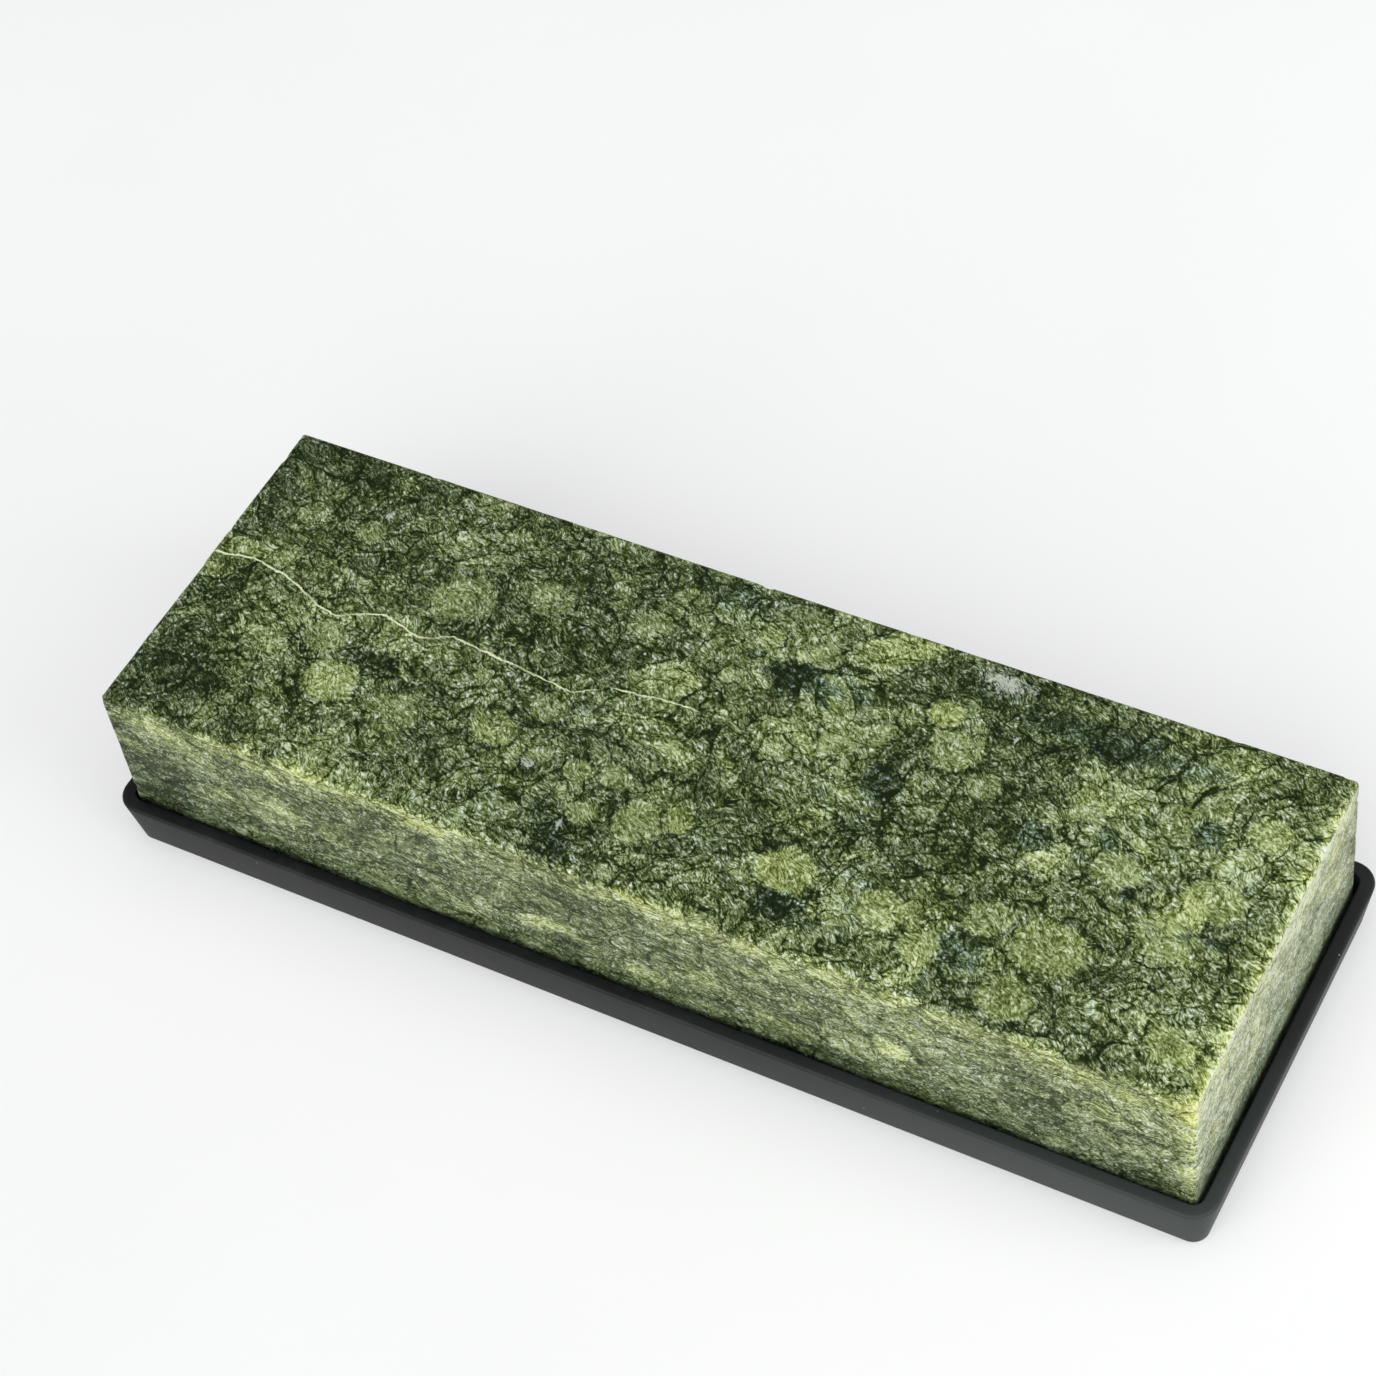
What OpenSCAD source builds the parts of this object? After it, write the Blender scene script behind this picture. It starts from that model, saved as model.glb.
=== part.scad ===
// Bench whetstone for carving and whittling tools.
//
// A sawn and lapped block of green stone stands loose in the seat of a moulded
// tray, and the tray stands on four rubber feet. The stone lifts straight out.
// It lies against the front of its seat, as it does after it has been used.
//
// Frame: +X along the stone, +Y across it, +Z up. The origin is the centre of
// the footprint, on the bench. All sizes are in millimetres.

/* [Stone] */
// Length of the stone
stone_l = 180; // [130:1:210]
// Width of the stone
stone_w = 59.5; // [45:0.5:75]
// Thickness of the stone
stone_h = 30; // [20:0.5:40]
// Chamfer ground on every edge of the stone
stone_chamfer = 0.8; // [0.4:0.1:1.5]

/* [Tray] */
// Height of the tray, from its lower edge to its rim
tray_h = 9.5; // [9.5:0.5:14]
// Width of the flat rim round the seat
rim_w = 2.3; // [2:0.1:5]
// Radius of the tray's upright corners, measured at the rim
rim_corner_r = 4; // [3:0.5:6]
// How far the outer walls lean in from the rim down to the lower edge
wall_lean = 1.5; // [0.5:0.1:1.5]
// Thickness of the skirt at its lower edge
skirt_t = 2; // [1.6:0.1:2.5]
// Thickness of the floor under the seat
floor_t = 2; // [1.5:0.1:2.2]
// Small chamfer on the rim's outer and inner edges
rim_chamfer = 0.3; // [0.2:0.1:0.5]

/* [Seat] */
// How far the stone stands down inside the rim
seat_depth = 4.5; // [3:0.5:4.5]
// Mean play between the stone and each end of the seat
end_play = 0.9; // [0.6:0.1:2]
// Mean play between the stone and each long side of the seat
side_play = 1.15; // [1.15:0.05:2]
// Distance that the stone lies to the right of the middle of the seat
stone_shift_right = 0.35; // [0:0.05:0.5]
// Distance that the stone lies to the front of the middle of the seat
stone_shift_front = 1.05; // [0:0.05:1.05]
// Radius in the seat's upright corners
seat_corner_r = 1; // [0.6:0.1:1]
// Height of the seat ribs that the stone stands on
seat_rib_h = 0.6; // [0.4:0.1:0.8]
// Width of a seat rib
seat_rib_w = 2; // [1.5:0.5:4]
// Distance from a seat rib's end to the end of the seat
seat_rib_inset = 6; // [2:1:20]
// Number of seat ribs, side by side across the seat
seat_rib_count = 4; // [3:1:6]

/* [Underside] */
// Thickness of the stiffening ribs under the floor
under_rib_t = 1.4; // [1:0.1:2]
// Number of stiffening ribs that cross the tray
cross_rib_count = 5; // [3:2:9]
// Distance of the two long stiffening ribs from the middle of the tray
long_rib_y = 10; // [8:1:12]
// Gap from the stiffening ribs down to the tray's lower edge
under_rib_gap = 0.6; // [0.3:0.1:0.8]

/* [Feet] */
// Diameter of a rubber foot
foot_d = 12; // [8:1:14]
// Thickness of a rubber foot
foot_h = 2; // [1.6:0.1:2.2]
// How far the feet stand proud of the tray's lower edge
foot_proud = 0.3; // [0.2:0.1:0.8]
// Width of the bevel round a foot's lower edge
foot_bevel = 0.4; // [0.2:0.1:0.6]
// Distance from the tray's end to the centre of a foot
foot_inset_x = 17; // [14:1:25]
// Distance from the tray's side to the centre of a foot
foot_inset_y = 14.5; // [13:0.5:20]
// Wall of the boss round a foot's recess
boss_wall = 1.6; // [1.2:0.1:2.5]
// Radial gap between a foot and its recess
foot_gap = 0.1; // [0.05:0.05:0.2]

/* [Hidden] */
$fn = 64;

// A cutter runs this far past the face that it opens.
over = 1;

// The seat, and the tray's outside at rim height.
seat_l = stone_l + 2 * end_play;
seat_w = stone_w + 2 * side_play;
tray_l = seat_l + 2 * rim_w;
tray_w = seat_w + 2 * rim_w;

// Heights above the bench.
tray_z = foot_proud;
rim_z = tray_z + tray_h;
stone_z = rim_z - seat_depth;
floor_z = stone_z - seat_rib_h;
under_z = floor_z - floor_t;
under_rib_z = tray_z + under_rib_gap;
recess_z = foot_h;

// The skirt is upright inside, and its thickness is measured at the lower edge.
skirt_l = tray_l - 2 * (wall_lean + skirt_t);
skirt_w = tray_w - 2 * (wall_lean + skirt_t);
skirt_corner_r = 1;

// Feet: the signs say which corner, front being -Y and left being -X.
foot_x = tray_l / 2 - foot_inset_x;
foot_y = tray_w / 2 - foot_inset_y;
boss_d = foot_d + 2 * (foot_gap + boss_wall);

// Spacing of the ribs.
seat_rib_pitch = seat_w / seat_rib_count;
seat_rib_l = seat_l - 2 * seat_rib_inset;
cross_rib_pitch = 2 * foot_x / (cross_rib_count - 1);

// ---- shared shapes ----

// A rectangle with its corners cut off at 45 degrees.
module chamfered_rectangle(x, y, c) {
    polygon([
        [-x / 2 + c, -y / 2], [x / 2 - c, -y / 2],
        [x / 2, -y / 2 + c], [x / 2, y / 2 - c],
        [x / 2 - c, y / 2], [-x / 2 + c, y / 2],
        [-x / 2, y / 2 - c], [-x / 2, -y / 2 + c]
    ]);
}

// A bar along X, with its cross-section drawn in Y and Z.
module along_x(length) {
    rotate([90, 0, 90])
        linear_extrude(length, center = true)
            children();
}

// A bar along Y, with its cross-section drawn in X and Z.
module along_y(length) {
    rotate([90, 0, 0])
        linear_extrude(length, center = true)
            children();
}

// The four corners of a rectangle l by w, less an inset.
module at_corners(l, w, inset) {
    for (sx = [-1, 1], sy = [-1, 1])
        translate([sx * (l / 2 - inset), sy * (w / 2 - inset), 0])
            children();
}

// An upright block with round corners.
module round_block(l, w, r, h) {
    translate([-l / 2 + r, -w / 2, 0]) cube([l - 2 * r, w, h]);
    translate([-l / 2, -w / 2 + r, 0]) cube([l, w - 2 * r, h]);
    at_corners(l, w, r) cylinder(h = h, r = r);
}

// The side view of a leaning block: as wide as top at height h, less lean below.
module leaning_section(top, lean, h) {
    polygon([[-top / 2 + lean, 0], [top / 2 - lean, 0], [top / 2, h], [-top / 2, h]]);
}

// A block with round corners whose four walls lean in towards its lower face.
// l, w and r are taken at its upper face. A negative lean leans out instead.
module leaning_block(l, w, r, h, lean) {
    along_x(l - 2 * r) leaning_section(w, lean, h);
    along_y(w - 2 * r) leaning_section(l, lean, h);
    at_corners(l, w, r) cylinder(h = h, r1 = r - lean, r2 = r);
}

// ---- pieces ----

module whetstone() {
    color([0.36, 0.45, 0.24])
        translate([stone_shift_right, -stone_shift_front, stone_z + stone_h / 2])
            intersection() {
                linear_extrude(stone_h, center = true)
                    chamfered_rectangle(stone_l, stone_w, stone_chamfer);
                along_x(stone_l) chamfered_rectangle(stone_w, stone_h, stone_chamfer);
                along_y(stone_w) chamfered_rectangle(stone_l, stone_h, stone_chamfer);
            }
}

// The outside of the tray: leaning walls, with a small chamfer round the rim.
module tray_outside() {
    lean_per_mm = wall_lean / tray_h;
    wall_h = tray_h - rim_chamfer;
    wall_in = lean_per_mm * rim_chamfer;
    leaning_block(tray_l - 2 * wall_in, tray_w - 2 * wall_in, rim_corner_r - wall_in,
        wall_h, wall_lean - wall_in);
    translate([0, 0, wall_h])
        leaning_block(tray_l - 2 * (wall_in + rim_chamfer), tray_w - 2 * (wall_in + rim_chamfer),
            rim_corner_r - wall_in - rim_chamfer, rim_chamfer, -rim_chamfer);
}

// The seat, with a 45 degree lead-in at the rim.
module seat_cut() {
    lead_h = rim_chamfer + over;
    translate([0, 0, floor_z]) round_block(seat_l, seat_w, seat_corner_r, rim_z - floor_z);
    translate([0, 0, rim_z - rim_chamfer])
        leaning_block(seat_l + 2 * lead_h, seat_w + 2 * lead_h, seat_corner_r + lead_h,
            lead_h, lead_h);
}

// The hollow under the floor.
module underside_cut() {
    translate([0, 0, tray_z - over])
        round_block(skirt_l, skirt_w, skirt_corner_r, under_z - tray_z + over);
}

// Ribs on the floor of the seat. The stone stands on them, so water drains below it.
module seat_ribs() {
    for (i = [0 : seat_rib_count - 1])
        translate([-seat_rib_l / 2, (i + 0.5) * seat_rib_pitch - seat_w / 2 - seat_rib_w / 2, floor_z])
            cube([seat_rib_l, seat_rib_w, seat_rib_h]);
}

// Stiffening ribs under the floor: two along the tray, the rest across it.
module under_ribs() {
    rib_h = under_z - under_rib_z;
    for (side = [-1, 1])
        translate([-skirt_l / 2, side * long_rib_y - under_rib_t / 2, under_rib_z])
            cube([skirt_l, under_rib_t, rib_h]);
    for (i = [0 : cross_rib_count - 1])
        translate([i * cross_rib_pitch - foot_x - under_rib_t / 2, -skirt_w / 2, under_rib_z])
            cube([under_rib_t, skirt_w, rib_h]);
}

// Puts its children at each of the four feet.
module at_feet() {
    for (sx = [-1, 1], sy = [-1, 1])
        translate([sx * foot_x, sy * foot_y, 0])
            children();
}

module tray() {
    color([0.09, 0.09, 0.1])
        difference() {
            union() {
                difference() {
                    translate([0, 0, tray_z]) tray_outside();
                    seat_cut();
                    underside_cut();
                }
                seat_ribs();
                under_ribs();
                at_feet()
                    translate([0, 0, under_rib_z])
                        cylinder(h = under_z - under_rib_z, d = boss_d);
            }
            at_feet()
                translate([0, 0, -over])
                    cylinder(h = recess_z + over, d = foot_d + 2 * foot_gap);
        }
}

// A rubber foot: a disc with its lower edge bevelled, glued into its recess.
module foot(sx, sy) {
    color([0.05, 0.05, 0.05])
        translate([sx * foot_x, sy * foot_y, 0]) {
            cylinder(h = foot_bevel, d1 = foot_d - 2 * foot_bevel, d2 = foot_d);
            translate([0, 0, foot_bevel]) cylinder(h = foot_h - foot_bevel, d = foot_d);
        }
}

whetstone();
tray();
foot(-1, -1);  // foot_front_left
foot(1, -1);  // foot_front_right
foot(-1, 1);  // foot_back_left
foot(1, 1);  // foot_back_right
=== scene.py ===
"""The looks of a bench whetstone: a block of green stone in a black moulded tray on rubber feet.

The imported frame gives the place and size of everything. Lengths here are in millimetres, in the
frame's own axes, and MM turns them into Blender's metres.
"""
import math

import bmesh
import bpy
import numpy as np
from mathutils import Matrix, Vector, noise


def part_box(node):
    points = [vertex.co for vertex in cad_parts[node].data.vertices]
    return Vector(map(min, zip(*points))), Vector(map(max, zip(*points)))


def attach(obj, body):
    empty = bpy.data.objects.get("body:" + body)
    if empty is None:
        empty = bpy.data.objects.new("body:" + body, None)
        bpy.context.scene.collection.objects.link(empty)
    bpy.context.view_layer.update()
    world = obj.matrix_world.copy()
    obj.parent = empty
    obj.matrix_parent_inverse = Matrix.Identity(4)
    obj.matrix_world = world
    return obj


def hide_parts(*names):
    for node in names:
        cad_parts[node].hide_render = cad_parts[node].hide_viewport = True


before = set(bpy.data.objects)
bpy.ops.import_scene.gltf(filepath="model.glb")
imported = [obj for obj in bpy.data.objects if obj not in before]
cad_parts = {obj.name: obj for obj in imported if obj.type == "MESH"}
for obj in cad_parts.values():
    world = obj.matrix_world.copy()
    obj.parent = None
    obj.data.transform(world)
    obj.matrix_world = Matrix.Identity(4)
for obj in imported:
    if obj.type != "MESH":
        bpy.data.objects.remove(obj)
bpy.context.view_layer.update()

MM = 0.001


def box_in_mm(node):
    """Middle and half size of a CAD node's box."""
    low, high = (np.array(corner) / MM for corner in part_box(node))
    return (low + high) / 2, (high - low) / 2


STONE_MID, STONE_HALF = box_in_mm("whetstone")
TRAY_MID, TRAY_HALF = box_in_mm("tray")
RIM_Z = TRAY_MID[2] + TRAY_HALF[2]


# ---- nodes ----

class Field:
    """A number that varies over a surface. Arithmetic on it adds Math nodes."""

    def __init__(self, graph, socket):
        self.graph = graph
        self.socket = socket

    def __add__(self, other):
        return self.graph.math("ADD", self, other)

    def __sub__(self, other):
        return self.graph.math("SUBTRACT", self, other)

    def __rsub__(self, other):
        return self.graph.math("SUBTRACT", other, self)

    def __mul__(self, other):
        return self.graph.math("MULTIPLY", self, other)

    def __truediv__(self, other):
        return self.graph.math("DIVIDE", self, other)

    def size(self):
        return self.graph.math("ABSOLUTE", self)

    def least(self, other):
        return self.graph.math("MINIMUM", self, other)

    def most(self, other):
        return self.graph.math("MAXIMUM", self, other)

    def decay(self, reach):
        """1 at zero, falling by e for each reach."""
        return self.graph.math("EXPONENT", self * (-1 / reach))

    def raised(self):
        """e to this power."""
        return self.graph.math("EXPONENT", self)

    def step(self, start, end):
        """A smooth step from 0 at start to 1 at end. Start may be the larger."""
        return self.graph.smooth_step(self, start, end)


class Graph:
    """Adds nodes to one node tree. Each method returns the new node's output."""

    def __init__(self, tree):
        self.nodes = tree.nodes
        self.links = tree.links

    def feed(self, value, socket):
        """Links a field or an output to an input, or sets the input to a plain value."""
        if isinstance(value, Field):
            value = value.socket
        if isinstance(value, bpy.types.NodeSocket):
            self.links.new(value, socket)
        else:
            socket.default_value = value

    def add(self, kind, inputs, **settings):
        """Adds a node, sets its properties and feeds its inputs by name or number."""
        node = self.nodes.new("ShaderNode" + kind)
        for name, value in settings.items():
            setattr(node, name, value)
        for name, value in inputs.items():
            self.feed(value, node.inputs[name])
        return node

    def math(self, operation, *values):
        node = self.add("Math", dict(enumerate(values)), operation=operation)
        return Field(self, node.outputs[0])

    def vector(self, operation, *values):
        return self.add("VectorMath", dict(enumerate(values)), operation=operation).outputs[0]

    def scaled(self, vector, factor):
        node = self.add("VectorMath", {0: vector, "Scale": factor}, operation="SCALE")
        return node.outputs[0]

    def smooth_step(self, value, start, end):
        inputs = {"Value": value, "From Min": start, "From Max": end}
        node = self.add("MapRange", inputs, interpolation_type="SMOOTHSTEP")
        return Field(self, node.outputs[0])

    def place(self, middle):
        """The point on the surface, in millimetres from middle, in the piece's own axes."""
        own = self.add("TexCoord", {}).outputs["Object"]
        in_mm = self.scaled(own, 1 / MM)
        return self.vector("SUBTRACT", in_mm, tuple(middle))

    def parts(self, vector):
        node = self.add("SeparateXYZ", {0: vector})
        return [Field(self, output) for output in node.outputs]

    def attribute(self, name):
        node = self.add("Attribute", {}, attribute_name=name)
        return Field(self, node.outputs["Fac"])

    def noise_node(self, at, grain, detail, rough):
        inputs = {"Vector": at, "Scale": 1 / grain, "Detail": detail, "Roughness": rough}
        return self.add("TexNoise", inputs)

    def noise(self, at, grain, detail=2.0, rough=0.5):
        """Soft noise with lumps about grain across: about -1 to 1, and 0 on average."""
        node = self.noise_node(at, grain, detail, rough)
        return Field(self, node.outputs["Fac"]) * 4 - 2

    def turned(self, at, degrees):
        """The same points turned about the upright axis."""
        inputs = {"Vector": at, "Angle": math.radians(degrees)}
        return self.add("VectorRotate", inputs, rotation_type="Z_AXIS").outputs[0]

    def drift(self, at, grain, reach, detail=2.0):
        """Moves each point by up to about reach in a direction that varies over grain."""
        colour = self.noise_node(at, grain, detail, 0.5).outputs["Color"]
        centred = self.vector("SUBTRACT", colour, (0.5, 0.5, 0.5))
        return self.vector("ADD", at, self.scaled(centred, 4 * reach))

    def cells(self, at, grain, feature="F1"):
        """A Voronoi pattern: the distance in cells, and three random numbers for each cell."""
        node = self.add("TexVoronoi", {"Vector": at, "Scale": 1 / grain}, feature=feature)
        distance = Field(self, node.outputs["Distance"])
        if feature == "DISTANCE_TO_EDGE":
            return distance
        split = self.add("SeparateColor", {0: node.outputs["Color"]})
        return distance, [Field(self, output) for output in split.outputs]

    def ramp(self, value, stops):
        """A colour for each value: stops are (position, (r, g, b)), in rising order."""
        node = self.add("ValToRGB", {"Fac": value})
        node.color_ramp.interpolation = "LINEAR"
        elements = node.color_ramp.elements
        for element, (position, colour) in zip(elements, (stops[0], stops[-1])):
            element.position = position
            element.color = (*colour, 1)
        for position, colour in stops[1:-1]:
            elements.new(position).color = (*colour, 1)
        return node.outputs["Color"]

    def blend(self, under, over, share, mode="MIX"):
        """Lays the colour over on the colour under, by share."""
        colours = [(*c, 1) if isinstance(c, tuple) else c for c in (under, over)]
        inputs = {0: share, 6: colours[0], 7: colours[1]}
        node = self.add("Mix", inputs, data_type="RGBA", blend_type=mode)
        return node.outputs[2]

    def tint(self, colour, red, green, blue):
        """Multiplies each channel of the colour by a number or a field."""
        factor = self.add("CombineXYZ", {0: red, 1: green, 2: blue}).outputs[0]
        return self.vector("MULTIPLY", colour, factor)

    def bump(self, height, strength=1.0):
        """A normal for a height in millimetres."""
        inputs = {"Height": height, "Distance": MM, "Strength": strength}
        return self.add("Bump", inputs).outputs["Normal"]


def new_material(name):
    """An empty material with a Principled shader: its graph, the shader and the material."""
    material = bpy.data.materials.new(name)
    material.use_nodes = True
    shader = material.node_tree.nodes["Principled BSDF"]
    return Graph(material.node_tree), shader, material


# ---- the stone's figure ----

# Pale nodules that the upper face cuts: x and y from the stone's middle, radius, how much they
# stand out, and how yellow they are.
NODULES = [
    (-58.6, -12.7, 4.6, 1.5, 0.6), (-68.3, 15.6, 2.6, 0.9, 0.1), (-30.6, -10.9, 3.8, 1.5, 0.4),
    (-34.8, 14.4, 3.8, 0.9, 0.1), (-47.5, 9.4, 5.4, 0.8, 0.1), (-46.4, -14.2, 4.6, 0.8, 0.2),
    (-63.5, -5.8, 3.6, 0.7, 0.2), (-24.6, -4.4, 3.2, 0.6, 0.1), (-14.8, -13.0, 2.5, 1.0, 0.2),
    (-10.5, -19.6, 2.6, 0.9, 0.3), (3.6, -15.2, 2.6, 1.0, 0.9), (-2.0, -18.0, 4.2, 1.0, 0.4),
    (22.0, -16.8, 4.8, 1.3, 0.9), (18.3, 6.4, 2.9, 0.9, 0.0), (0.0, 20.6, 2.2, 0.9, 0.3),
    (9.6, 20.6, 2.6, 0.9, 0.3), (-17.5, 16.0, 2.8, 0.6, 0.1), (30.6, 17.9, 2.9, 1.3, 1.0),
    (34.8, 12.2, 4.2, 1.1, 0.2), (82.0, 15.9, 3.3, 1.1, 0.5), (79.4, 2.0, 4.4, 1.2, 0.5),
    (64.6, 1.5, 3.7, 1.0, 0.3), (75.4, -6.2, 4.6, 0.8, 0.2), (61.8, -14.4, 5.6, 0.9, 0.5),
    (37.0, -17.7, 3.9, 1.0, 0.6), (44.8, -21.3, 3.3, 1.0, 0.7), (51.7, -13.2, 3.7, 0.8, 0.3),
    (83.3, -22.2, 3.8, 1.1, 0.6), (59.2, -24.4, 4.0, 0.9, 0.4), (56.7, 9.8, 2.6, 0.8, 0.1),
    (69.6, 13.0, 3.2, 0.8, 0.2), (41.2, 7.7, 2.8, 0.8, 0.1), (-8.5, -12.0, 2.6, 0.7, 0.2),
]

NODULE_LENGTH = 1.06   # half length and half width of a nodule, for a radius of 1
NODULE_WIDTH = 0.92

# Dark patches, blue-green to the right of the middle: x, y, half length, half width, strength.
DARK_SPOTS = [
    (27.9, 2.8, 3.6, 5.4, 1.0), (27.0, -6.2, 4.4, 2.6, 0.6), (20.0, -2.6, 3.0, 1.6, 0.5),
    (-12.4, -25.0, 2.8, 4.2, 0.9), (-16.6, -20.6, 2.2, 2.4, 0.4), (-22.0, -15.4, 2.4, 2.2, 0.8),
    (9.0, 15.0, 10.5, 3.0, 1.6), (24.4, -23.4, 5.6, 2.8, 0.9), (57.0, 22.0, 17.0, 3.2, 0.8),
    (50.8, 2.2, 5.0, 2.4, 0.7), (53.8, -4.6, 3.0, 1.2, 0.3), (67.7, -1.3, 1.3, 1.3, 1.6),
    (74.2, 11.8, 2.6, 3.0, 0.8), (51.0, -19.4, 3.4, 3.0, 0.9), (47.9, -26.6, 1.8, 4.0, 0.9),
    (82.1, -4.8, 4.8, 1.6, 0.8), (61.5, 6.6, 1.8, 2.0, 0.8), (-54.0, -7.6, 7.5, 2.4, 0.9),
    (-82.0, -21.0, 9.0, 6.0, 0.6), (-9.0, 26.0, 8.0, 3.0, 0.6), (-77.0, 2.0, 11.0, 2.0, 0.3),
    (-71.0, 26.0, 11.0, 3.4, 0.3), (35.0, 24.0, 9.0, 1.8, 0.4),
]

# Whitish crystals: x, y, half length, half width.
WHITE_SPOTS = [
    (36.6, 26.6, 4.6, 2.8), (-67.5, 20.0, 1.1, 1.6), (-56.2, 26.2, 1.1, 0.8), (42.0, 17.3, 0.5, 1.2),
    (-22.3, -14.6, 1.8, 0.8), (-12.5, -22.4, 0.7, 1.6), (57.0, -25.0, 0.6, 0.8),
    (13.0, 7.2, 1.4, 0.4),
]

# The pale vein and the dark crack run along the stone: x, y.
VEIN = [
    (-90.0, 2.4), (-83.0, 3.7), (-76.3, 2.5), (-67.9, -0.7), (-64.4, -1.5), (-57.5, 1.9),
    (-50.0, -0.2), (-45.0, 1.9), (-35.8, 1.1), (-22.5, -0.3), (-17.4, 2.9), (-11.7, 3.4),
    (-7.5, 3.9), (-3.0, 3.8),
]
CRACK = [(-19.0, -6.1), (-15.4, -5.3), (-10.0, -9.4), (-5.4, -10.5), (-3.2, -12.4)]

# The stone's bedding lies flat, so what grew in it is this much thinner than it is wide.
FLATTEN = 1.5


def spot_field(points, spots):
    """How deep each point is in the nearest spot: 1 in its middle, 0 at its edge, less outside.
    A spot's middle is a little below the upper face, and the spot is thicker than it is wide."""
    depth = np.full(len(points), -1.0)
    nearest = np.zeros(len(points), int)
    for number, (x, y, long, wide) in enumerate(spots):
        middle = np.array([x, y, STONE_HALF[2] - 0.3 * wide])
        away = (points - middle) / (long, wide, max(wide, 2) * 1.6)
        here = 1 - np.linalg.norm(away, axis=1)
        closer = here > depth
        depth[closer] = here[closer]
        nearest[closer] = number
    return depth, nearest


def line_field(points, route, lean):
    """How far each point lies to the back of an upright sheet along the route."""
    xs, ys = zip(*route)
    below = STONE_HALF[2] - points[:, 2]
    return points[:, 1] - np.interp(points[:, 0], xs, ys) - lean * below


def figure_attributes(mesh, points):
    """Stores the placed features on the stone's mesh, for its material to read."""
    nodules = [(x, y, r * NODULE_LENGTH, r * NODULE_WIDTH) for x, y, r, *_ in NODULES]
    depth, nearest = spot_field(points, nodules)
    standing_out, yellowness = np.array([spot[3:] for spot in NODULES]).T
    dark, which = spot_field(points, [spot[:4] for spot in DARK_SPOTS])
    strength = np.array([spot[4] for spot in DARK_SPOTS])
    white, _ = spot_field(points, WHITE_SPOTS)
    values = {
        "nodule": depth,
        "nodule_strength": standing_out[nearest],
        "nodule_yellow": yellowness[nearest],
        "dark_spot": dark,
        "dark_strength": strength[which],
        "white_spot": white,
        "vein": line_field(points, VEIN, 0.25),
        "crack": line_field(points, CRACK, -0.4),
    }
    for name, numbers in values.items():
        store(mesh, name, numbers)


def store(mesh, name, numbers):
    """Keeps one number for each vertex of the mesh."""
    attribute = mesh.attributes.new(name, "FLOAT", "POINT")
    attribute.data.foreach_set("value", np.asarray(numbers, np.float32))


# ---- the stone's shape ----

EDGE_R = 0.80          # usual radius of the stone's worn edges, at the front and the right
CRISP_R = 0.50         # and at the back and the left
EDGE_ZONE = 2.6        # the grid is finer this close to an edge
GRID_STEP = 0.72       # grid spacing on the faces
EDGE_LINES = 9         # grid lines in the edge zone


def graded_lines(half):
    """Grid positions from -half to half, crowded towards both ends."""
    near = [EDGE_ZONE * (k / EDGE_LINES) ** 1.6 for k in range(EDGE_LINES + 1)]
    inner = half - EDGE_ZONE
    count = round(2 * inner / GRID_STEP)
    middle = [2 * inner * k / count - inner for k in range(1, count)]
    return [d - half for d in near] + middle + [half - d for d in reversed(near)]


def box_grid(lines):
    """Points and faces of a box whose six faces are grids on the given lines."""
    index = {}
    points = []
    faces = []

    def point(key):
        if key not in index:
            index[key] = len(points)
            points.append([lines[axis][key[axis]] for axis in range(3)])
        return index[key]

    for axis in range(3):
        u, v = (axis + 1) % 3, (axis + 2) % 3
        last = len(lines[axis]) - 1
        for side in (0, last):
            for i in range(len(lines[u]) - 1):
                for j in range(len(lines[v]) - 1):
                    corners = []
                    for di, dj in ((0, 0), (1, 0), (1, 1), (0, 1)):
                        key = [side] * 3
                        key[u] = i + di
                        key[v] = j + dj
                        corners.append(point(tuple(key)))
                    faces.append(corners if side else corners[::-1])
    return np.array(points), faces


def worn_radius(points):
    """Radius of the edges near each point: a little uneven, with a few small chips."""
    used_side = (points[:, 1] < 0) | (points[:, 0] > STONE_HALF[0] - EDGE_ZONE)
    radius = np.where(used_side, EDGE_R, CRISP_R)
    near_face = STONE_HALF - np.abs(points) < EDGE_ZONE
    for i in np.flatnonzero(near_face.sum(axis=1) > 1):
        at = Vector(points[i])
        uneven = noise.noise(at / 17) * 0.25 + noise.noise(at / 4.5) * 0.18
        chip = max(0, noise.noise(at / 2.6 + Vector((7, 3, 1))) - 0.42) * 3.0
        radius[i] = max(0.30, radius[i] + uneven * radius[i] + chip)
    return np.minimum(radius, EDGE_ZONE * 0.9)


def round_edges(points, radius):
    """Moves the points of a box on to the same box with rounded edges."""
    limit = STONE_HALF - radius[:, None]
    inner = np.clip(points, -limit, limit)
    out = points - inner
    return inner + out / np.linalg.norm(out, axis=1, keepdims=True) * radius[:, None]


def piece_from(name, points, faces, material):
    """A smooth-shaded object from points in millimetres."""
    mesh = bpy.data.meshes.new(name)
    mesh.from_pydata([tuple(p) for p in np.asarray(points) * MM], [], faces)
    mesh.materials.append(material)
    mesh.shade_smooth()
    piece = bpy.data.objects.new(name, mesh)
    bpy.context.collection.objects.link(piece)
    return piece


def make_stone():
    points, faces = box_grid([graded_lines(half) for half in STONE_HALF])
    shaped = round_edges(points, worn_radius(points))
    stone = piece_from("stone_block", shaped + STONE_MID, faces, stone_material())
    figure_attributes(stone.data, shaped)
    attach(stone, "stone")
    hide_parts("whetstone")
    return stone


# ---- the stone's material ----

# The body colour from its darkest matrix to its palest crystals. Tone 0.5 is the commonest.
STONE_TONES = [
    (0.08, (0.004, 0.009, 0.0013)),
    (0.26, (0.014, 0.024, 0.0054)),
    (0.40, (0.039, 0.058, 0.0180)),
    (0.50, (0.080, 0.108, 0.0395)),
    (0.60, (0.142, 0.182, 0.0730)),
    (0.74, (0.263, 0.322, 0.1380)),
    (0.92, (0.490, 0.570, 0.2750)),
]


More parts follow.
